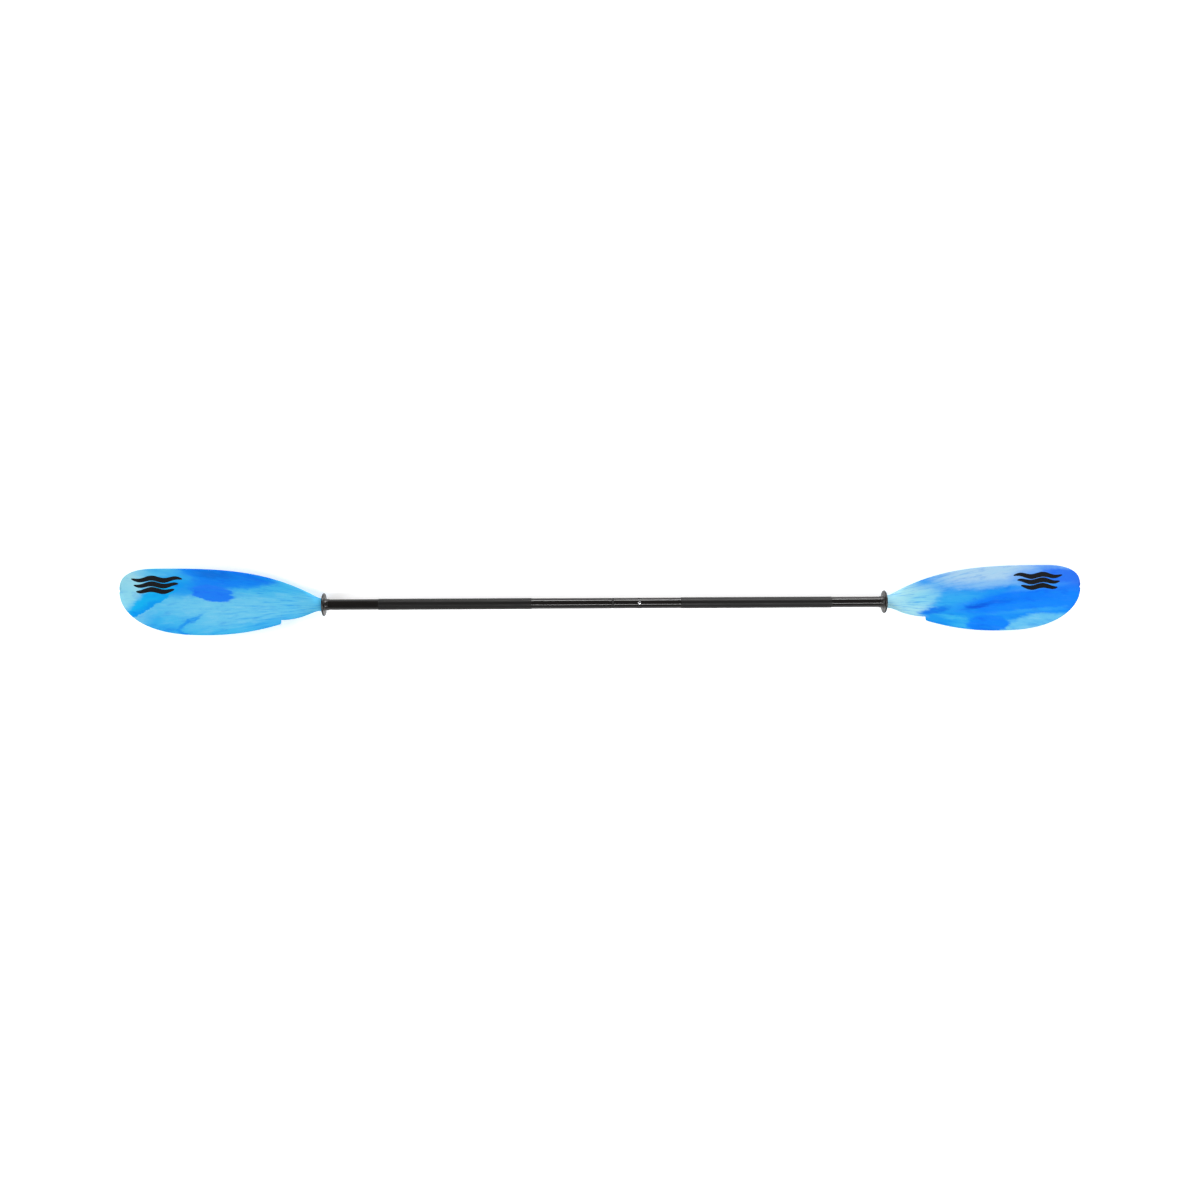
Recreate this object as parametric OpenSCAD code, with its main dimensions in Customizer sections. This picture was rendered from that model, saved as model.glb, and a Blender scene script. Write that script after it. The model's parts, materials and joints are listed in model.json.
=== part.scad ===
// Two-piece kayak paddle, lying flat with its power faces up.
// +X runs along the shaft to the right half, +Y towards the longer blade edges, +Z out of the power faces.
// The origin is on the shaft's axis, midway between the two blade tips. Millimetres.

/* [Whole paddle] */
// Length over both blade tips with the halves locked together
overall_len = 2500; // [2460:10:2560]
// Distance from the middle of the paddle to the end of each tube, where its blade begins
shoulder_x = 736.3; // [716.3:10:756.3]

/* [Shaft] */
// Outer diameter of both shaft tubes
tube_od = 28; // [27.6:0.1:28.2]
// Wall thickness of both shaft tubes
tube_wall = 1.5; // [1.3:0.1:1.6]
// Distance from the middle of the paddle to the inner end of each grip sleeve
grip_start = 195.5; // [170:5:230]
// Distance from the middle of the paddle to the outer end of each grip sleeve
grip_end = 592.5; // [560:5:595]
// Thickness of the grip sleeves
grip_t = 0.5; // [0.4:0.1:0.9]

/* [Ferrule joint] */
// Place of the seam between the halves
seam_x = 17; // [10:1:24]
// Width of the rubber washer in the seam
washer_w = 4.6; // [3.6:0.2:5.6]
// Outer diameter of the seam washer
washer_od = 27; // [26.4:0.2:27.6]
// How far the ferrule stands out of the left tube
ferrule_out = 110; // [100:5:120]
// How far the ferrule is bonded into the left tube
ferrule_in = 95; // [80:5:110]
// Wall thickness of the ferrule
ferrule_wall = 1.6; // [1.4:0.1:1.7]
// Feather angle between neighbouring button holes
feather_step = 60; // [50:5:70]

/* [Snap button] */
// Distance from the seam to the button
button_run = 69; // [62:0.5:72]
// Diameter of the button
button_d = 8; // [7:0.5:8]
// How far the button stands proud of the tube
button_proud = 2; // [1.4:0.1:2.4]
// Width of the spring clip's leaf
leaf_w = 8; // [6:0.5:8]
// Thickness of the spring clip's leaf
leaf_t = 0.9; // [0.8:0.1:1]

/* [Drip rings] */
// Outer diameter of the drip ring flange
ring_od = 60; // [56:1:64]
// Thickness of the drip ring flange
ring_t = 5; // [4:0.5:6]
// Length of the drip ring along the shaft, flange and cuff together
ring_len = 15; // [14:1:20]

/* [Blade] */
// Reach of the upper edge from the shaft's axis, at its widest
edge_up = 95; // [90:1:100]
// Reach of the lower edge from the shaft's axis, at its widest
edge_down = 77.5; // [72.5:1:82.5]
// Distance from the shoulder to the widest place of the upper edge
widest_up = 420; // [400:5:430]
// Distance from the shoulder to the widest place of the lower edge
widest_down = 293; // [273:5:313]
// Height of the outermost point of the tip above the shaft's axis
tip_rise = 36; // [26:1:46]
// Distance from the shoulder to the step in the lower edge
notch_x = 107; // [97:1:117]
// Reach of the lower edge just before the step
notch_reach = 39.5; // [36.5:1:42.5]
// Radius of the step's outer corner
notch_r = 3; // [2:0.5:4]
// Half the width of the blade's neck
neck_r = 16.3; // [16:0.1:17]
// Thickness of the blade's plate at its middle
plate_t = 4.2; // [3.6:0.2:5]
// Height of the spine on the back face near the neck
spine_h = 9; // [6:1:11]
// How far the tip curves up out of the shaft's plane
spoon = 16; // [8:1:18]
// How far the edges curl up beside the middle of the blade
camber = 4; // [2:0.5:5]
// Number of cross sections along the blade
blade_rows = 42; // [34:1:48]
// Number of points round each cross section
blade_cols = 36; // [24:4:40]

/* [Hidden] */
$fn = 96;
eps = 0.01;
tube_r = tube_od / 2;
bore_r = tube_r - tube_wall;
blade_len = overall_len / 2 - shoulder_x;
// sliding clearance of the ferrule and bond line of the pieces glued into the tubes
slide_gap = 0.07;
bond_gap = 0.08;
// clearance of the drip ring on the tube
ring_gap = 0.1;
// clearance between pieces that move past each other end to end
end_gap = 0.3;
ferrule_r = bore_r - slide_gap;
ferrule_bore_r = ferrule_r - ferrule_wall;
washer_x0 = seam_x - washer_w / 2;
washer_x1 = seam_x + washer_w / 2;
button_x = seam_x + button_run;
button_r = button_d / 2;
hole_gap = 0.4;
leaf_top = sqrt(pow(ferrule_bore_r, 2) - pow(leaf_w / 2, 2)) - 0.06;
button_top = tube_r + button_proud;
ring_face = shoulder_x - end_gap;
ring_r = ring_od / 2;
tang_len = 60;
tang_wall = 3;
tang_floor = 8;
collar_w = 3;
collar_h = 0.5;
foam_len = 60;
foam_x = 580;
cap_len = 8;

function mix(a, b, t) = a + (b - a) * t;
function ease(t) = let (c = min(max(t, 0), 1)) c * c * (3 - 2 * c);
function round_max(a, b) = pow(pow(max(a, 1), 6) + pow(b, 6), 1 / 6);

// rise or fall of an edge from its neck to its widest place, w back from there
function shoulder_drop(s, widest, from, drop, power) =
    drop * pow(min(max((widest - s) / (widest - from), 0), 1), power);
// share of the reach that is left beyond the widest place, down to nothing at the tip
function tip_round(s, widest, along, across) =
    let (x = min(max((s - widest) / (blade_len - widest), 0), 1))
    pow(max(1 - pow(x, along), 0), 1 / across);

// the neck ends in a raised collar against the tube
function collar(s) = s < collar_w ? collar_h : 0;
function upper_edge(s) = s < widest_up
    ? collar(s) + round_max(edge_up - shoulder_drop(s, widest_up, 0, 85, 3.1), neck_r)
    : tip_rise + (edge_up - tip_rise) * tip_round(s, widest_up, 2.5, 2.9);
function neck_edge(s) =
    collar(s) + round_max(notch_reach - shoulder_drop(s, notch_x, 0, 34, 2.1), neck_r);
function fin_edge(s) = s < widest_down
    ? edge_down - shoulder_drop(s, widest_down, notch_x, 27.5, 2.1)
    : (edge_down + tip_rise) * tip_round(s, widest_down, 2.5, 2) - tip_rise;
// how much the step's rounded corner takes off the lower edge
function corner_cut(s) =
    let (d = max(notch_r - (s - notch_x), 0)) notch_r - sqrt(pow(notch_r, 2) - pow(min(d, notch_r), 2));
function lower_edge(s) = s < notch_x ? neck_edge(s) : fin_edge(s) - corner_cut(s);

// height of the blade's middle surface above the shaft's axis
function rise(s) = spoon * pow(s / blade_len, 2);
function curl(s, v) = camber * v * v * ease(s / 200);
function face_h(s) = collar(s) + mix(neck_r, plate_t / 2, ease(s / 70));
function back_h(s) = collar(s) + mix(neck_r, plate_t / 2, ease(s / 100));
function spine(s, y) = spine_h * ease(s / 60) * pow(max(1 - s / 440, 0), 1.4) * exp(-pow(y / 11, 2));
function squareness(s) = mix(1, 0.35, ease(s / 60));

function section_point(s, a) =
    let (top = upper_edge(s), low = lower_edge(s), v = cos(a),
        y = (top - low) / 2 + (top + low) / 2 * v,
        lift = pow(abs(sin(a)), squareness(s)),
        near_tip = ease((blade_len - s) / 6) * 0.6 + 0.4,
        h = sin(a) >= 0 ? face_h(s) * lift * near_tip : -(back_h(s) + spine(s, y)) * lift * near_tip)
    [shoulder_x + s, y, rise(s) + curl(s, v) + h];

// places of the cross sections: even along the neck, both sides of the step, then closer towards the tip
neck_rows = 11;
collar_stations = [0, collar_w - eps];
neck_stations = [for (i = [0 : neck_rows - 1]) mix(collar_w + 0.4, notch_x - 0.6, i / (neck_rows - 1))];
step_stations = [for (t = [0, 0.25, 0.6, 1]) notch_x + notch_r * t];
fin_start = notch_x + notch_r;
fin_rows = blade_rows - len(collar_stations) - neck_rows - len(step_stations);
fin_end = blade_len - 0.05;
fin_stations = [for (i = [1 : fin_rows]) fin_start + (fin_end - fin_start) * sin(90 * i / fin_rows)];
stations = concat(collar_stations, neck_stations, step_stations, fin_stations);

// the tang that is bonded into the tube: a cup with its mouth at the far end, from its floor round to the neck
tang_r = bore_r - bond_gap;
tang_rings = [[-tang_floor, tang_r - tang_wall], [-tang_len, tang_r - tang_wall], [-tang_len, tang_r], [0, tang_r]];
function ring_point(s, r, a) = [shoulder_x + s, r * cos(a), r * sin(a)];

module blade() {
    turn = 360 / blade_cols;
    tang = [for (ring = tang_rings, j = [0 : blade_cols - 1]) ring_point(ring[0], ring[1], j * turn)];
    plate = [for (s = stations, j = [0 : blade_cols - 1]) section_point(s, j * turn)];
    rows = len(tang_rings) + len(stations);
    walls = [for (i = [0 : rows - 2], j = [0 : blade_cols - 1], half = [0, 1])
        let (a = i * blade_cols + j, b = i * blade_cols + (j + 1) % blade_cols)
        half == 0 ? [a, a + blade_cols, b] : [b, a + blade_cols, b + blade_cols]];
    first_cap = [for (j = [0 : blade_cols - 1]) j];
    last_cap = [for (j = [blade_cols - 1 : -1 : 0]) (rows - 1) * blade_cols + j];
    polyhedron(concat(tang, plate), concat(walls, [first_cap, last_cap]), convexity = 6);
}

// a round bar or, with a bore, a tube, lying along X
module bar(x0, x1, r, bore = 0) {
    translate([x0, 0, 0]) rotate([0, 90, 0])
    difference() {
        cylinder(h = x1 - x0, r = r);
        if (bore > 0) translate([0, 0, -1]) cylinder(h = x1 - x0 + 2, r = bore);
    }
}

// a bore across the shaft at an angle round X
module button_hole(angle, r) {
    rotate([angle, 0, 0]) translate([button_x, 0, 2]) cylinder(h = tube_od, r = r);
}

module grip_sleeve() {
    bar(grip_start, grip_end, tube_r + grip_t, tube_r);
}

module float_plug() {
    bar(foam_x, foam_x + foam_len, bore_r - bond_gap);
}

module drip_ring() {
    inner = tube_r + ring_gap;
    rim_r = ring_t / 2;
    face = ring_len;
    rim = [for (a = [-80 : 20 : 80]) [ring_r - rim_r * (1 - cos(a)), face - rim_r + rim_r * sin(a)]];
    profile = concat(
        [[inner, 0], [inner + 0.4, 0], [inner + 0.7, 0.3], [inner + 0.9, face - ring_t - 6]],
        [[inner + 1.6, face - ring_t - 3], [inner + 2.8, face - ring_t - 1.2], [inner + 5, face - ring_t - 0.1]],
        rim, [[inner, face]]);
    translate([ring_face - ring_len, 0, 0]) rotate([90, 0, 90])
    rotate_extrude() polygon(profile);
}

module left_blade() {
    color("deepskyblue") mirror([1, 0, 0]) blade();
}

module right_blade() {
    color("dodgerblue") blade();
}

module left_shaft() {
    color([0.11, 0.1, 0.1]) bar(-shoulder_x, washer_x0 - end_gap, tube_r, bore_r);
}

module right_shaft() {
    color([0.11, 0.1, 0.1])
    difference() {
        bar(washer_x1 + end_gap, shoulder_x, tube_r, bore_r);
        for (turn = [-1 : 1]) button_hole(turn * feather_step, button_r + hole_gap);
    }
}

module left_grip() {
    color([0.07, 0.07, 0.07]) mirror([1, 0, 0]) grip_sleeve();
}

module right_grip() {
    color([0.07, 0.07, 0.07]) grip_sleeve();
}

module left_float_plug() {
    color("gainsboro") mirror([1, 0, 0]) float_plug();
}

module right_float_plug() {
    color("gainsboro") float_plug();
}

module left_drip_ring() {
    color([0.16, 0.16, 0.16]) mirror([1, 0, 0]) drip_ring();
}

module right_drip_ring() {
    color([0.16, 0.16, 0.16]) drip_ring();
}

module ferrule() {
    color("dimgray")
    difference() {
        bar(seam_x - ferrule_in, seam_x + ferrule_out, ferrule_r, ferrule_bore_r);
        button_hole(0, button_r + end_gap);
    }
}

module ferrule_plug() {
    color("silver") bar(seam_x + ferrule_out - cap_len, seam_x + ferrule_out, ferrule_bore_r - 0.05);
}

module joint_ring() {
    color([0.05, 0.05, 0.05]) bar(washer_x0, washer_x1, washer_od / 2, bore_r);
}

// the clip's bent strip: two legs that spread from a round bend, drawn as a centre line with a thickness
bend_r = 4.2;
bend_x = button_x - 46;
leaf_z = leaf_top - leaf_t / 2;
bend_line = [for (a = [90 : 20 : 270]) [bend_x + bend_r * cos(a), bend_r * sin(a)]];
leaf_line = concat([[button_x + 7, leaf_z], [button_x - 7, leaf_z]], bend_line,
    [[button_x - 7, -leaf_z], [button_x + 7, -leaf_z]]);
function unit(v) = v / norm(v);
function line_normal(p, i) =
    let (d = unit(p[min(i + 1, len(p) - 1)] - p[max(i - 1, 0)])) [-d[1], d[0]];

module snap_spring() {
    last = len(leaf_line) - 1;
    outer = [for (i = [0 : last]) leaf_line[i] + line_normal(leaf_line, i) * leaf_t / 2];
    inner = [for (i = [last : -1 : 0]) leaf_line[i] - line_normal(leaf_line, i) * leaf_t / 2];
    color("lightsteelblue")
    difference() {
        translate([0, leaf_w / 2, 0]) rotate([90, 0, 0])
        linear_extrude(leaf_w) polygon(concat(outer, inner));
        translate([button_x, 0, leaf_z - 3]) cylinder(h = 6, r = 2.3);
    }
}

// domed head, and a rivet tail through the clip's leaf
module snap_button() {
    dome = [for (a = [0 : 10 : 90]) [button_r * cos(a), button_top + 1.7 * (sin(a) - 1)]];
    color("silver") translate([button_x, 0, 0])
    rotate_extrude() polygon(concat(
        [[0, leaf_top - leaf_t - 0.5], [1.9, leaf_top - leaf_t - 0.5], [1.9, leaf_top + eps]],
        [[button_r, leaf_top + eps]], dome));
}

left_blade();
left_shaft();
left_grip();
left_float_plug();
left_drip_ring();
ferrule();
ferrule_plug();
snap_spring();
snap_button();
joint_ring();
right_blade();
right_shaft();
right_grip();
right_float_plug();
right_drip_ring();
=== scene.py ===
import json
import math

import bmesh
import bpy
from mathutils import Matrix, Vector


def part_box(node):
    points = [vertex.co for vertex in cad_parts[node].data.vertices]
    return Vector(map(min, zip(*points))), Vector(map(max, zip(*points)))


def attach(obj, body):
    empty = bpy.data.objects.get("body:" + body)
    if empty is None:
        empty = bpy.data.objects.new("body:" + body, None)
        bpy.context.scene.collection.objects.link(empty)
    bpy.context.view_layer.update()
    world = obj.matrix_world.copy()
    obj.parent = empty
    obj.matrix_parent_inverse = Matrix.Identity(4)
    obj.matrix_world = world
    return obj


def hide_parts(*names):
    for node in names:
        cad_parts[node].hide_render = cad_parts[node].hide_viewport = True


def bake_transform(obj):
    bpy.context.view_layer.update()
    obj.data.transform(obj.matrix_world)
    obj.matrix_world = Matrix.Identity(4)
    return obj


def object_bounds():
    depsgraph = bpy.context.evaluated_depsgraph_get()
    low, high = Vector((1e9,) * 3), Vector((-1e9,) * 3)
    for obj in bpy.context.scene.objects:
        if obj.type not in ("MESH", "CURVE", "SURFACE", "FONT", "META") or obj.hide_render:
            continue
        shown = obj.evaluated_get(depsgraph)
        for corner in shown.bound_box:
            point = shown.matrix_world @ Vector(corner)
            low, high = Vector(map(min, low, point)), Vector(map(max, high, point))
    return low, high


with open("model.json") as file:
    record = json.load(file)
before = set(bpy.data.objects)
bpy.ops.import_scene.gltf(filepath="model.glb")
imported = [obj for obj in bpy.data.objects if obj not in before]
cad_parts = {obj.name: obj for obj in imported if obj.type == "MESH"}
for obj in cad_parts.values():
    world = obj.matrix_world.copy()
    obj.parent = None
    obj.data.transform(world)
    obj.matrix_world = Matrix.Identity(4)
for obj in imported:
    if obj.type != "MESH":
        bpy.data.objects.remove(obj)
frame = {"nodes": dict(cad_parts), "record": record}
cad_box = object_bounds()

MM = 0.001

# ---------------------------------------------------------------- sizes, from the frame

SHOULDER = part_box("right_shaft")[1][0]
BLADE_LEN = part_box("right_blade")[1][0] - SHOULDER
FLOOR_Z = cad_box[0][2]

# the blade's design, in millimetres from its shoulder, as the CAD blade has it
LENGTH = BLADE_LEN / MM
EDGE_UP, EDGE_DOWN = 95.0, 77.5
WIDEST_UP, WIDEST_DOWN = 420.0, 293.0
TIP_RISE = 36.0
# how far each edge falls back from its widest place to the neck, and the power of that curve
DROP_UP, DROP_UP_POWER = 85, 3.1
DROP_NECK, DROP_DOWN, DROP_DOWN_POWER = 34, 27.5, 2.1
# the powers of each edge's curve round to the tip, along the blade and across it
TIP_UP, TIP_DOWN = (2.5, 2.9), (2.5, 2)
NOTCH, NOTCH_REACH, NOTCH_R = 107.0, 39.5, 3.0
NECK_R, PLATE, SPINE, SPOON, CAMBER = 16.3, 4.2, 9.0, 16.0, 4.0
COLLAR_W, COLLAR_H = 3.0, 0.5
TANG_R, TANG_WALL, TANG_LEN, TANG_FLOOR, TANG_BEVEL = 12.42, 3.0, 60.0, 8.0, 0.6
# how far the finer mesh keeps inside the CAD blade's facets
INSET = 0.04
# the finer mesh: points round a section, sections along the neck and sections along the fin
BLADE_COLS, NECK_ROWS, FIN_ROWS = 96, 40, 110

# the printed mark, in millimetres: where it starts on each blade, and its strokes from the upper edge down
MARK_START = {"left": 357, "right": 339}
MARK_STROKES, MARK_STEPS = 3, 96
MARK_HEIGHT, MARK_LENGTH = 67.5, 128
MARK_SPACING, MARK_SHIFT, MARK_SHORTER = 14.6, 10.0, 16.0
MARK_WAVE, MARK_PERIOD = 3.0, 62.0
MARK_HALF_WIDTH, MARK_BLUNTNESS, MARK_POINT = 6.6, 0.45, 0.05
MARK_THICK, MARK_DEPTH = 0.12, 0.2

# the spring clip, in metres, as the CAD clip has it
CLIP_W, CLIP_T = 8.0 * MM, 0.9 * MM
BEND_R, PAD_HALF, RIVET_HOLE_R = 4.2 * MM, 7.0 * MM, 2.3 * MM
LEAF_STEPS, HOLE_STEPS = 24, 32

FLOOR_HALF = 9
CAMERA_DISTANCE, FRAME_WIDTH = 3.0, 3.1405
CAMERA_AIM = (-0.0164, 0.0084)
CAMERA_YAW, CAMERA_ROLL = math.radians(1.89), math.radians(-0.29)
SENSOR_WIDTH = 36


# ---------------------------------------------------------------- small helpers

def mix(a, b, t):
    return a + (b - a) * t


def ease(t):
    c = min(max(t, 0.0), 1.0)
    return c * c * (3 - 2 * c)


def srgb(r, g, b):
    """A display colour, 0 to 255, as the linear colour that a shader takes."""
    return tuple(mix(c / 12.92, ((c + 0.055) / 1.055) ** 2.4, c > 0.04045)
                 for c in (r / 255, g / 255, b / 255)) + (1.0,)


def mesh_object(name, vertices, faces, material, smooth_angle=40):
    """A new object, shaded smooth except over edges sharper than an angle in degrees."""
    mesh = bpy.data.meshes.new(name)
    mesh.from_pydata([tuple(v) for v in vertices], [], faces)
    bm = bmesh.new()
    bm.from_mesh(mesh)
    bmesh.ops.recalc_face_normals(bm, faces=bm.faces)
    for edge in bm.edges:
        edge.smooth = len(edge.link_faces) == 2 and edge.calc_face_angle(0) < math.radians(smooth_angle)
    for face in bm.faces:
        face.smooth = True
    bm.to_mesh(mesh)
    bm.free()
    mesh.materials.append(material)
    return link(bpy.data.objects.new(name, mesh))


def rings_to_faces(rows, cols):
    """Faces that join equal rings of points into a closed skin, with a face over each end."""
    faces = []
    for i in range(rows - 1):
        for j in range(cols):
            k = (j + 1) % cols
            faces.append((i * cols + j, (i + 1) * cols + j, (i + 1) * cols + k, i * cols + k))
    faces.append(tuple(range(cols)))
    faces.append(tuple((rows - 1) * cols + j for j in reversed(range(cols))))
    return faces


def link(obj):
    bpy.context.scene.collection.objects.link(obj)
    return obj


# ---------------------------------------------------------------- shader building

class Shader:
    """One node material with a Principled surface, and short calls for the nodes it needs."""

    def __init__(self, name):
        self.material = bpy.data.materials.new(name)
        self.material.use_nodes = True
        self.tree = self.material.node_tree
        self.surface = self.tree.nodes["Principled BSDF"]

    def node(self, kind, inputs=(), **settings):
        made = self.tree.nodes.new("ShaderNode" + kind)
        for key, value in settings.items():
            setattr(made, key, value)
        for key, value in dict(inputs).items():
            self.put(made.inputs[key], value)
        return made

    def put(self, socket, value):
        if isinstance(value, bpy.types.NodeSocket):
            self.tree.links.new(value, socket)
        else:
            socket.default_value = value

    def set(self, **values):
        """Sockets of the surface, with an underscore for each space of a name."""
        for key, value in values.items():
            self.put(self.surface.inputs[key.replace("_", " ")], value)

    def place(self):
        return self.node("TexCoord").outputs["Object"]

    def vector(self, operation, a, b=(0, 0, 0)):
        made = self.node("VectorMath", {0: a, 1: b}, operation=operation)
        return made.outputs["Value" if operation == "LENGTH" else "Vector"]

    def math(self, operation, a, b=0.0, c=0.0):
        return self.node("Math", {0: a, 1: b, 2: c}, operation=operation).outputs[0]

    def noise(self, at, scales, detail=4.0, roughness=0.55, output="Fac"):
        """Noise with its own scale along each axis."""
        made = self.node("TexNoise", {"Vector": self.vector("MULTIPLY", at, scales), "Scale": 1.0,
                                      "Detail": detail, "Roughness": roughness})
        return made.outputs[output]

    def cells(self, scale):
        """Distance to the middle of each of a skin's small cells."""
        at = self.vector("MULTIPLY", self.place(), (scale, scale, scale))
        return self.node("TexVoronoi", {"Vector": at, "Scale": 1.0}).outputs["Distance"]

    def spot(self, at, along, height, tilt, half_length=1, half_width=1):
        """Places measured from a spot, in its own half lengths and widths, with a tilt in degrees."""
        made = self.node("Mapping", {"Vector": at, "Location": (along, height, 0),
                                     "Rotation": (0, 0, math.radians(tilt)),
                                     "Scale": (half_length, half_width, 1)}, vector_type="TEXTURE")
        return made.outputs["Vector"]

    def ramp(self, value, low, high, to_low=0.0, to_high=1.0):
        made = self.node("MapRange", {"Value": value, "From Min": low, "From Max": high,
                                      "To Min": to_low, "To Max": to_high}, interpolation_type="SMOOTHSTEP")
        return made.outputs["Result"]

    def blend(self, factor, a, b, mode="MIX"):
        made = self.node("Mix", data_type="RGBA", blend_type=mode)
        self.put(made.inputs["Factor"], factor)
        self.put(made.inputs[6], a)
        self.put(made.inputs[7], b)
        return made.outputs[2]

    def bump(self, height, strength, distance):
        made = self.node("Bump", {"Height": height, "Strength": strength, "Distance": distance})
        return made.outputs["Normal"]


# ---------------------------------------------------------------- blade materials

# Washes of colour, laid one over another. Each is an ellipse in millimetres from the blade's shoulder:
# distance along the blade, height above the axis, half length, half width, tilt in degrees towards the
# upper edge, softness of its rim, colour, strength. A wash may end at a straight, sharper cut through
# a place, at an angle: what lies to the right of that direction is left out.
LEFT_BASE = (66, 186, 240)
LEFT_WASHES = [
    (250, -4, 170, 34, 2, 0.6, (112, 203, 240), 0.9),
    (180, -34, 90, 18, -6, 0.7, (104, 200, 240), 0.6),
    (60, 4, 70, 26, 0, 0.6, (104, 202, 240), 0.7),
    (262, -40, 60, 18, -8, 0.7, (110, 202, 240), 0.6),
    (130, -44, 60, 12, -12, 0.6, (58, 176, 240), 0.7),
    (420, -62, 90, 22, 40, 0.7, (50, 174, 240), 0.75),
    (300, -82, 110, 12, 0, 0.7, (62, 180, 240), 0.6),
    (400, 80, 90, 22, 0, 0.7, (84, 190, 241), 0.7),
    (350, 58, 60, 30, -8, 0.6, (40, 164, 243), 0.8),
    (420, 46, 64, 20, -14, 0.6, (30, 165, 243), 0.8),
    (552, 46, 98, 128, -12, 0.38, (168, 226, 238), 1.0),
    (496, 20, 26, 60, -18, 0.8, (120, 210, 239), 0.6),
    (430, 6, 84, 33, -36, 0.35, (10, 178, 244), 1.0, (425, -1, -36)),
    (446, -17, 48, 13, -38, 0.6, (0, 152, 242), 0.95, (425, -1, -36)),
    (345, 44, 46, 16, 6, 0.7, (10, 150, 245), 0.8),
    (244, 96, 132, 50, 7, 0.16, (10, 136, 249), 1.0),
    (275, 78, 50, 10, 6, 0.7, (0, 112, 224), 0.9),
    (190, 74, 60, 9, 16, 0.8, (1, 112, 240), 0.7),
    (283, 50, 52, 17, 6, 0.5, (12, 130, 250), 0.9),
    (281, 31, 58, 19, 8, 0.14, (26, 126, 250), 1.0),
    (344, -46, 34, 5, -37, 0.6, (24, 146, 240), 0.9),
    (348, -72, 24, 5, 27, 0.6, (24, 146, 240), 0.9),
    (384, -60, 30, 12, -10, 0.8, (34, 160, 241), 0.55),
]
RIGHT_BASE = (24, 148, 246)
RIGHT_WASHES = [
    (165, 4, 84, 30, 4, 0.6, (52, 172, 242), 0.9),
    (190, 34, 80, 14, 8, 0.7, (58, 158, 246), 0.7),
    (140, 44, 60, 20, 28, 0.5, (104, 181, 244), 0.95),
    (40, 0, 84, 52, 0, 0.42, (167, 224, 238), 1.0),
    (96, 8, 40, 16, 10, 0.7, (130, 211, 240), 0.8),
    (285, 86, 150, 42, 4, 0.40, (173, 212, 241), 1.0),
    (270, 46, 90, 10, 4, 0.8, (126, 186, 244), 0.6),
    (405, 62, 62, 26, 0, 0.6, (92, 158, 248), 0.85),
    (372, 8, 172, 28, 9, 0.3, (4, 125, 252), 1.0),
    (475, 62, 66, 44, -16, 0.42, (42, 118, 248), 1.0),
    (430, 95, 70, 9, -3, 0.6, (110, 168, 248), 0.8),
    (488, 4, 50, 36, -24, 0.5, (14, 130, 251), 1.0),
    (405, 37, 62, 6, 6, 0.7, (62, 156, 252), 0.85),
    (246, -12, 40, 7, 12, 0.6, (0, 92, 222), 0.95),
    (300, 0, 40, 5, 10, 0.8, (0, 106, 236), 0.7),
    (380, -17, 106, 17, 3, 0.35, (14, 134, 252), 1.0),
    (390, -25, 84, 5, 4, 0.7, (46, 162, 245), 0.8),
    (165, -50, 66, 26, -10, 0.35, (26, 152, 240), 1.0),
    (130, -24, 38, 8, 9, 0.5, (8, 118, 235), 0.95),
    (186, -44, 44, 6, -12, 0.8, (60, 186, 239), 0.8),
    (205, -62, 34, 6, -10, 0.8, (60, 186, 239), 0.6),
    (392, -62, 96, 27, 7, 0.2, (98, 191, 240), 1.0),
    (372, -73, 64, 8, 3, 0.7, (126, 203, 239), 0.8),
    (268, -58, 52, 22, 4, 0.16, (10, 131, 250), 1.0),
    (262, -70, 34, 8, 0, 0.7, (0, 112, 240), 0.6),
]
# the studio lights a white card to a little more than full white, so the paint is that much darker
PAINT = 0.80


def paint(tint):
    red, green, blue, alpha = srgb(*tint)
    return red * PAINT, green * PAINT, blue * PAINT, alpha


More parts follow.
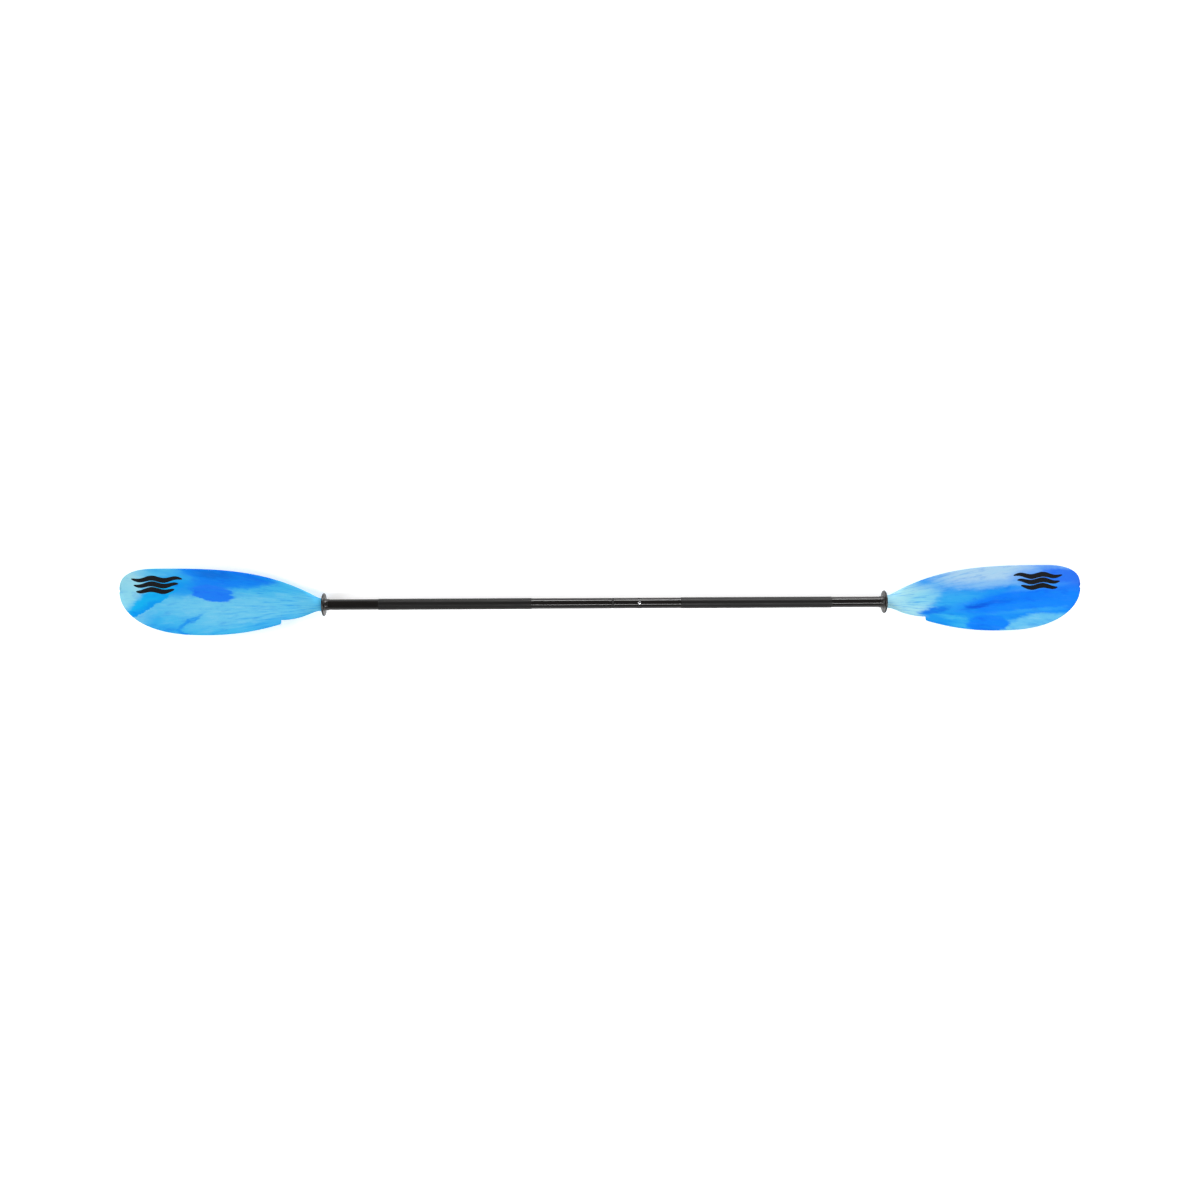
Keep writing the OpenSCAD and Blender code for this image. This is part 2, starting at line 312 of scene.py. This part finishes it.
def blade_material(name, side, base, washes):
    """Moulded plastic with its colours swirled in. side is +1 on the right half and -1 on the left."""
    sh = Shader(name)
    place = sh.vector("SUBTRACT", sh.place(), (side * SHOULDER, 0, 0))
    flat = sh.vector("MULTIPLY", place, (side / MM, 1 / MM, 0))
    split = sh.node("SeparateXYZ", {"Vector": flat})
    # the swirls fan out from the neck, and so does the grain that ragged their rims
    reach = sh.math("ADD", split.outputs["X"], 120.0)
    fan = sh.math("DIVIDE", split.outputs["Y"], reach)
    fan_at = sh.node("CombineXYZ", {"X": sh.math("MULTIPLY", split.outputs["X"], 0.010),
                                    "Y": sh.math("MULTIPLY", fan, 9.0)}).outputs["Vector"]
    warped = flat
    for at, scales, detail, roughness, shift in (
            (fan_at, (1, 1, 1), 3.0, 0.5, (44, 18, 0)),
            (fan_at, (3, 5, 0), 5.0, 0.65, (44, 10, 0)),
            (flat, (0.09, 0.12, 0), 4.0, 0.6, (10, 9, 0))):
        sway = sh.vector("SUBTRACT", sh.noise(at, scales, detail, roughness, "Color"), (0.5, 0.5, 0.5))
        warped = sh.vector("ADD", warped, sh.vector("MULTIPLY", sway, shift))
    colour = paint(base)
    for along, height, half_length, half_width, tilt, soft, tint, strength, *cuts in washes:
        distance = sh.vector("LENGTH", sh.spot(warped, along, height, tilt, half_length, half_width))
        cover = sh.ramp(distance, 1 + soft, 1 - soft, 0.0, strength)
        for cut_along, cut_height, cut_angle in cuts:
            line = sh.spot(warped, cut_along, cut_height, cut_angle)
            across = sh.node("SeparateXYZ", {"Vector": line}).outputs["Y"]
            cover = sh.math("MULTIPLY", cover, sh.ramp(across, -1.5, 1.5))
        colour = sh.blend(cover, colour, paint(tint))
    # fibres fan out from the neck
    fibre = sh.noise(fan_at, (1.6, 6.5, 0), 6.0, 0.62)
    near_neck = sh.ramp(split.outputs["X"], 330.0, 40.0, 0.30, 1.0)
    dark = sh.math("MULTIPLY", sh.ramp(fibre, 0.50, 0.66, 0.0, 0.72), near_neck)
    # pale streaks show only where the paint is pale already
    pale = sh.ramp(sh.node("SeparateColor", {"Color": colour}).outputs["Red"], 0.0, 0.10, 0.10, 1.0)
    light = sh.math("MULTIPLY", sh.ramp(fibre, 0.47, 0.28, 0.0, 0.30), pale)
    colour = sh.blend(dark, colour, paint((16, 150, 238)))
    colour = sh.blend(light, colour, paint((150, 218, 244)))
    # the pigment pools unevenly, like watercolour
    pool = sh.noise(fan_at, (2.2, 3.4, 0), 5.0, 0.6)
    colour = sh.blend(sh.ramp(pool, 0.52, 0.72, 0.0, 0.34), colour, (0.02, 0.36, 0.9, 1), "MULTIPLY")
    colour = sh.blend(sh.math("MULTIPLY", sh.ramp(pool, 0.48, 0.30, 0.0, 0.22), pale), colour,
                      paint((150, 216, 244)))
    # fine speckle of the pigment
    grain = sh.noise(flat, (0.5, 1.4, 1), 3.0)
    colour = sh.blend(sh.ramp(grain, 0.35, 0.75, 0.0, 0.06), colour, srgb(220, 240, 250), "SOFT_LIGHT")
    skin = sh.noise(place, (900, 900, 900))
    sh.set(Base_Color=colour, Roughness=sh.ramp(skin, 0.3, 0.7, 0.46, 0.56),
           Normal=sh.bump(skin, 0.10, 0.0002), IOR=1.45, Specular_IOR_Level=0.1)
    return sh.material


# ---------------------------------------------------------------- other materials

def shaft_material():
    """Black fibre tube under a thin clear coat: fine fibres along it, and rubbed by use."""
    sh = Shader("shaft_tube")
    at = sh.place()
    fibres = sh.noise(at, (40, 2600, 2600), 3.0)
    rub = sh.noise(at, (9, 60, 60), 5.0)
    colour = sh.blend(sh.ramp(fibres, 0.35, 0.7), srgb(13, 11, 10), srgb(22, 19, 17))
    sh.set(Base_Color=colour, Roughness=sh.ramp(rub, 0.3, 0.7, 0.10, 0.16),
           Normal=sh.bump(rub, 0.02, 0.0001), IOR=1.42)
    return sh.material


def grip_material():
    """Matt sleeve with a fine pebbled skin."""
    sh = Shader("grip_sleeve")
    wear = sh.noise(sh.place(), (14, 40, 40), 5.0)
    colour = sh.blend(sh.ramp(wear, 0.35, 0.7), srgb(8, 7, 6), srgb(14, 12, 11))
    sh.set(Base_Color=colour, Roughness=sh.ramp(wear, 0.3, 0.7, 0.50, 0.40),
           Normal=sh.bump(sh.cells(900), 0.25, 0.0002), IOR=1.36)
    return sh.material


def rubber_material(name, dark, light, roughness):
    """Moulded rubber: a dull, slightly dusty skin."""
    sh = Shader(name)
    dust = sh.noise(sh.place(), (60, 60, 60))
    colour = sh.blend(sh.ramp(dust, 0.35, 0.7), srgb(*dark), srgb(*light))
    sh.set(Base_Color=colour, Roughness=sh.ramp(dust, 0.3, 0.7, roughness, roughness + 0.14),
           Normal=sh.bump(dust, 0.05, 0.0002), IOR=1.5)
    return sh.material


def steel_material():
    """Bright spring steel with fine brushing."""
    sh = Shader("steel")
    brush = sh.noise(sh.place(), (300, 9000, 9000), 3.0)
    colour = sh.blend(brush, srgb(176, 176, 178), srgb(214, 214, 216))
    sh.set(Base_Color=colour, Roughness=sh.ramp(brush, 0.3, 0.7, 0.10, 0.18),
           Normal=sh.bump(brush, 0.15, 0.00005), Metallic=1.0)
    return sh.material


def foam_material():
    """Closed-cell foam."""
    sh = Shader("foam")
    cells = sh.cells(800)
    colour = sh.blend(sh.ramp(cells, 0.1, 0.8), srgb(214, 213, 206), srgb(238, 238, 232))
    sh.set(Base_Color=colour, Roughness=0.9, Normal=sh.bump(cells, 0.5, 0.0004))
    return sh.material


def moulded_material(name, dark, light, roughness):
    """Plain moulded or wound plastic with a faint grain."""
    sh = Shader(name)
    grain = sh.noise(sh.place(), (500, 1400, 1400))
    colour = sh.blend(grain, srgb(*dark), srgb(*light))
    sh.set(Base_Color=colour, Roughness=sh.ramp(grain, 0.3, 0.7, roughness, roughness + 0.1),
           Normal=sh.bump(grain, 0.1, 0.0001))
    return sh.material


def ink_material():
    """Black printing ink on the blade."""
    sh = Shader("wave_ink")
    wear = sh.noise(sh.place(), (500, 500, 500))
    colour = sh.blend(sh.ramp(wear, 0.4, 0.8), srgb(2, 3, 6), srgb(7, 10, 16))
    sh.set(Base_Color=colour, Roughness=sh.ramp(wear, 0.3, 0.7, 0.38, 0.52), Specular_IOR_Level=0.2)
    return sh.material


# ---------------------------------------------------------------- the blade's shape

def round_max(a, b):
    """The larger of two lengths, with a rounded change from one to the other."""
    return (max(a, 1.0) ** 6 + b ** 6) ** (1 / 6)


def drop(s, widest, start, amount, power):
    """How far an edge has fallen at s, from none at its widest place to the whole amount at its start."""
    return amount * min(max((widest - s) / (widest - start), 0.0), 1.0) ** power


def tip_round(s, widest, along, across):
    """The share of an edge's reach that is left at s, from 1 at its widest place to 0 at the tip."""
    x = min(max((s - widest) / (LENGTH - widest), 0.0), 1.0)
    return max(1 - x ** along, 0.0) ** (1 / across)


def collar(s):
    return COLLAR_H if s < COLLAR_W else 0.0


def upper_edge(s):
    if s < WIDEST_UP:
        return collar(s) + round_max(EDGE_UP - drop(s, WIDEST_UP, 0, DROP_UP, DROP_UP_POWER), NECK_R)
    return TIP_RISE + (EDGE_UP - TIP_RISE) * tip_round(s, WIDEST_UP, *TIP_UP)


def lower_edge(s):
    if s < NOTCH:
        return collar(s) + round_max(NOTCH_REACH - drop(s, NOTCH, 0, DROP_NECK, DROP_DOWN_POWER), NECK_R)
    if s < WIDEST_DOWN:
        reach = EDGE_DOWN - drop(s, WIDEST_DOWN, NOTCH, DROP_DOWN, DROP_DOWN_POWER)
    else:
        reach = (EDGE_DOWN + TIP_RISE) * tip_round(s, WIDEST_DOWN, *TIP_DOWN) - TIP_RISE
    gap = min(max(NOTCH_R - (s - NOTCH), 0.0), NOTCH_R)
    return reach - NOTCH_R + math.sqrt(NOTCH_R ** 2 - gap ** 2)


def middle_height(s, v):
    """Height of the middle of the plate over the axis, at v from -1 on the lower edge to 1 on the upper."""
    return SPOON * (s / LENGTH) ** 2 + CAMBER * v * v * ease(s / 200)


def spine(s, y):
    """How far the rib on the back stands out."""
    return SPINE * ease(s / 60) * max(1 - s / 440, 0.0) ** 1.4 * math.exp(-(y / 11) ** 2)


def section_point(s, a):
    """A point of the blade's skin, in millimetres from the shoulder, at angle a round the section at s."""
    top, low = upper_edge(s), lower_edge(s)
    v = math.cos(a)
    y = (top - low) / 2 + ((top + low) / 2 - INSET) * v
    lift = abs(math.sin(a)) ** mix(1, 0.35, ease(s / 60))
    near_tip = ease((LENGTH - s) / 6) * 0.6 + 0.4
    face = collar(s) + mix(NECK_R, PLATE / 2, ease(s / 70)) - INSET
    back = collar(s) + mix(NECK_R, PLATE / 2, ease(s / 100)) + spine(s, y) - INSET
    h = face * lift * near_tip if math.sin(a) >= 0 else -back * lift * near_tip
    return s, y, middle_height(s, v) + h


def face_height(s, y):
    """Height of the power face over the axis at a place on the blade, in millimetres."""
    top, low = upper_edge(s), lower_edge(s)
    v = min(max((y - (top - low) / 2) / ((top + low) / 2 - INSET), -1.0), 1.0)
    return section_point(s, math.acos(v))[2]


def blade_stations():
    """Places of the sections: on the collar, along the neck, round the step and closer towards the tip."""
    neck = [mix(COLLAR_W + 0.4, NOTCH - 0.5, i / (NECK_ROWS - 1)) for i in range(NECK_ROWS)]
    step = [NOTCH + NOTCH_R * (1 - math.cos(math.radians(a))) for a in range(0, 91, 10)]
    start, end = step[-1], LENGTH - 0.05
    fin = [start + (end - start) * math.sin(math.radians(90 * i / FIN_ROWS)) for i in range(1, FIN_ROWS + 1)]
    return [0.0, 0.4, COLLAR_W - 0.4, COLLAR_W - 0.01] + neck + step + fin


def make_blade(name, side, material):
    """The blade and its hollow tang in one skin, from the floor of the tang's cup round to the tip."""
    turn = 2 * math.pi / BLADE_COLS
    angles = [j * turn for j in range(BLADE_COLS)]
    tang = [(-TANG_FLOOR, TANG_R - TANG_WALL), (-TANG_LEN, TANG_R - TANG_WALL),
            (-TANG_LEN, TANG_R - TANG_BEVEL), (-TANG_LEN + TANG_BEVEL, TANG_R), (0.0, TANG_R)]
    rows = [[(s, r * math.cos(a), r * math.sin(a)) for a in angles] for s, r in tang]
    rows += [[section_point(s, a) for a in angles] for s in blade_stations()]
    vertices = [Vector((side * (SHOULDER + x * MM), y * MM, z * MM)) for row in rows for x, y, z in row]
    return mesh_object(name, vertices, rings_to_faces(len(rows), BLADE_COLS), material, 32)


# ---------------------------------------------------------------- the wave mark

def wave_mark(name, side, start, material):
    """Three stacked wave strokes, heavy in the middle and pointed at their ends, on the power face."""
    vertices, faces = [], []
    for stroke in range(MARK_STROKES):
        span = MARK_LENGTH - stroke * MARK_SHORTER
        first = len(vertices)
        for i in range(MARK_STEPS + 1):
            t = i / MARK_STEPS
            s = start + stroke * MARK_SHIFT + span * t
            wave = MARK_WAVE * math.sin(2 * math.pi * (s - start) / MARK_PERIOD)
            width = MARK_HALF_WIDTH * math.sin(math.pi * t) ** MARK_BLUNTNESS + MARK_POINT
            for across in (-1, 1):
                y = MARK_HEIGHT - stroke * MARK_SPACING + wave + across * width
                z = face_height(s, y)
                vertices.append((s, y, z - MARK_DEPTH))
                vertices.append((s, y, z + MARK_THICK))
        for i in range(MARK_STEPS):
            a, b = first + i * 4, first + (i + 1) * 4
            faces += [(a + 1, a + 3, b + 3, b + 1), (a, b, b + 2, a + 2),
                      (a, a + 1, b + 1, b), (a + 2, b + 2, b + 3, a + 3)]
        last = first + MARK_STEPS * 4
        faces += [(first, first + 2, first + 3, first + 1), (last, last + 1, last + 3, last + 2)]
    placed = [(side * (SHOULDER + s * MM), y * MM, z * MM) for s, y, z in vertices]
    return mesh_object(name, placed, faces, material)


# ---------------------------------------------------------------- the spring clip

def strip(name, line, material):
    """A bent strip, as wide and thick as the CAD clip, along a line of places (x, z)."""
    vertices = []
    for i, (x, z) in enumerate(line):
        before, after = line[max(i - 1, 0)], line[min(i + 1, len(line) - 1)]
        along = Vector((after[0] - before[0], after[1] - before[1])).normalized() * CLIP_T / 2
        for across, out in ((-1, -1), (1, -1), (1, 1), (-1, 1)):
            vertices.append((x - out * along.y, across * CLIP_W / 2, z + out * along.x))
    return mesh_object(name, vertices, rings_to_faces(len(line), 4), material, 30)


def clip_pad(name, x, z, material):
    """The flat end of the clip's leaf, with the hole that the button is riveted through."""
    corner = math.atan2(CLIP_W / 2, PAD_HALF)
    angles = sorted({2 * math.pi * i / HOLE_STEPS for i in range(HOLE_STEPS)}
                    | {corner, math.pi - corner, math.pi + corner, 2 * math.pi - corner})
    vertices = []
    for a in angles:
        c, s = math.cos(a), math.sin(a)
        reach = min(PAD_HALF / max(abs(c), 1e-9), CLIP_W / 2 / max(abs(s), 1e-9))
        for r, up in ((RIVET_HOLE_R, -1), (reach, -1), (reach, 1), (RIVET_HOLE_R, 1)):
            vertices.append((x + r * c, r * s, z + up * CLIP_T / 2))
    faces = []
    for i in range(len(angles)):
        a, b = i * 4, (i + 1) % len(angles) * 4
        faces += [(a + k, a + (k + 1) % 4, b + (k + 1) % 4, b + k) for k in range(4)]
    return mesh_object(name, vertices, faces, material, 30)


def add_clip(material):
    """The clip's lower leg and bend stay with the ferrule, its pad goes with the button, and its upper leaf
    is built where it rests, joined to no body.
    """
    low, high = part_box("snap_spring")
    z = high[2] - CLIP_T / 2
    bend_x = low[0] + BEND_R + CLIP_T / 2
    bend = [(bend_x + BEND_R * math.cos(math.radians(a)), BEND_R * math.sin(math.radians(a)))
            for a in range(90, 271, 10)]
    pad_x = high[0] - PAD_HALF
    leg = strip("clip_leg", bend + [(pad_x - PAD_HALF, -z), (high[0], -z)], material)
    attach(leg, "left_half")
    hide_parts("snap_spring")
    start, end = (bend_x, BEND_R), (pad_x - PAD_HALF, z)
    line = [(mix(start[0], end[0], i / LEAF_STEPS), mix(start[1], end[1], i / LEAF_STEPS))
            for i in range(LEAF_STEPS + 1)]
    leaf = strip("clip_leaf", line, material)
    pad = clip_pad("clip_pad", pad_x, z, material)
    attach(pad, "snap_button")
    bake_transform(leaf)


# ---------------------------------------------------------------- build

# the CAD nodes' material slots, and the ink
materials = {
    "shaft": shaft_material(),
    "grip": grip_material(),
    "drip_rubber": rubber_material("drip_rubber", (19, 17, 16), (30, 28, 26), 0.24),
    "washer": rubber_material("washer_rubber", (5, 4, 4), (9, 8, 8), 0.6),
    "steel": steel_material(),
    "foam": foam_material(),
    "ferrule": moulded_material("ferrule_tube", (34, 34, 35), (52, 52, 54), 0.3),
    "plug": moulded_material("plug_moulding", (66, 66, 68), (84, 84, 86), 0.45),
    "ink": ink_material(),
}

blades = {
    "left": (-1, blade_material("blade_left_swirl", -1, LEFT_BASE, LEFT_WASHES)),
    "right": (1, blade_material("blade_right_swirl", 1, RIGHT_BASE, RIGHT_WASHES)),
}
for half, (side, material) in blades.items():
    blade = make_blade(half + "_blade_skin", side, material)
    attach(blade, half + "_half")
    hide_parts(half + "_blade")
    mark = wave_mark(half + "_wave_mark", side, MARK_START[half], materials["ink"])
    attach(mark, half + "_half")

for entry in frame["record"]["subparts"]:
    node = frame["nodes"][entry["node"]]
    if entry["material_slot"] in materials:
        node.data.materials.clear()
        node.data.materials.append(materials[entry["material_slot"]])

add_clip(materials["steel"])


# ---------------------------------------------------------------- floor, lights and camera

def add_floor():
    sh = Shader("floor")
    tone = sh.noise(sh.place(), (0.6, 0.6, 0.6), 3.0)
    sh.set(Base_Color=sh.blend(tone, srgb(246, 246, 247), srgb(250, 250, 250)), Roughness=0.9)
    # a lit table, so that shadows on it are faint
    sh.set(Emission_Color=(1, 1, 1, 1), Emission_Strength=0.3)
    corners = [(x * FLOOR_HALF, y * FLOOR_HALF, FLOOR_Z) for x, y in ((-1, -1), (1, -1), (1, 1), (-1, 1))]
    mesh_object("floor", corners, [(0, 1, 2, 3)], sh.material)


def add_strip(name, tilt, distance, width, length, power, x):
    """A long soft light above the shaft, tilted round it by an angle in degrees from straight up."""
    data = bpy.data.lights.new(name, "AREA")
    data.shape = "RECTANGLE"
    data.size, data.size_y, data.energy = length, width, power
    light = link(bpy.data.objects.new(name, data))
    angle = math.radians(tilt)
    light.location = (x, distance * math.sin(angle), distance * math.cos(angle))
    light.rotation_euler = (-angle, 0, 0)


def add_box_light(name, location, size, power):
    """A square soft light that looks at the middle of the paddle."""
    data = bpy.data.lights.new(name, "AREA")
    data.size, data.energy = size, power
    light = link(bpy.data.objects.new(name, data))
    light.location = location
    light.rotation_euler = Vector(location).to_track_quat("Z", "Y").to_euler()


def add_world(zenith, horizon):
    """A pale room with a darker ceiling, which the black tube mirrors."""
    world = bpy.data.worlds.new("studio")
    world.use_nodes = True
    nodes, links = world.node_tree.nodes, world.node_tree.links
    where = nodes.new("ShaderNodeTexCoord")
    split = nodes.new("ShaderNodeSeparateXYZ")
    level = nodes.new("ShaderNodeMapRange")
    level.interpolation_type = "SMOOTHSTEP"
    # it darkens between two heights over the horizon, as the sine of their angle
    for socket, value in (("From Min", 0.08), ("From Max", 0.6), ("To Min", horizon), ("To Max", zenith)):
        level.inputs[socket].default_value = value
    links.new(where.outputs["Generated"], split.inputs["Vector"])
    links.new(split.outputs["Z"], level.inputs["Value"])
    nodes["Background"].inputs["Color"].default_value = (1, 1, 1, 1)
    links.new(level.outputs["Result"], nodes["Background"].inputs["Strength"])
    bpy.context.scene.world = world


def add_camera():
    """Looks straight down on the paddle, turned a little so that the right half is further away."""
    right = Vector((math.cos(CAMERA_YAW), 0, math.sin(CAMERA_YAW)))
    back = Vector((-math.sin(CAMERA_YAW), 0, math.cos(CAMERA_YAW)))
    rotation = Matrix((right, Vector((0, 1, 0)), back)).transposed() @ Matrix.Rotation(CAMERA_ROLL, 3, "Z")
    place = Vector((*CAMERA_AIM, 0)) + back * CAMERA_DISTANCE
    data = bpy.data.cameras.new("camera")
    data.sensor_width = SENSOR_WIDTH
    data.lens = SENSOR_WIDTH * CAMERA_DISTANCE / FRAME_WIDTH
    camera = link(bpy.data.objects.new("camera", data))
    camera.matrix_world = Matrix.Translation(place) @ rotation.to_4x4()
    bpy.context.scene.camera = camera


add_floor()
add_world(zenith=0.2, horizon=0.95)
# the strips hang over the right half, so that the left tube shows no streaks by its drip ring
add_strip("strip_far", tilt=67, distance=8.0, width=1.1, length=9.0, power=780, x=3.7)
add_strip("strip_near", tilt=-30, distance=8.0, width=0.7, length=9.0, power=440, x=3.7)
add_box_light("fill_left", location=(-7.5, 0.0, 6.0), size=4.0, power=330)
add_camera()
bpy.context.scene.view_settings.view_transform = "Standard"
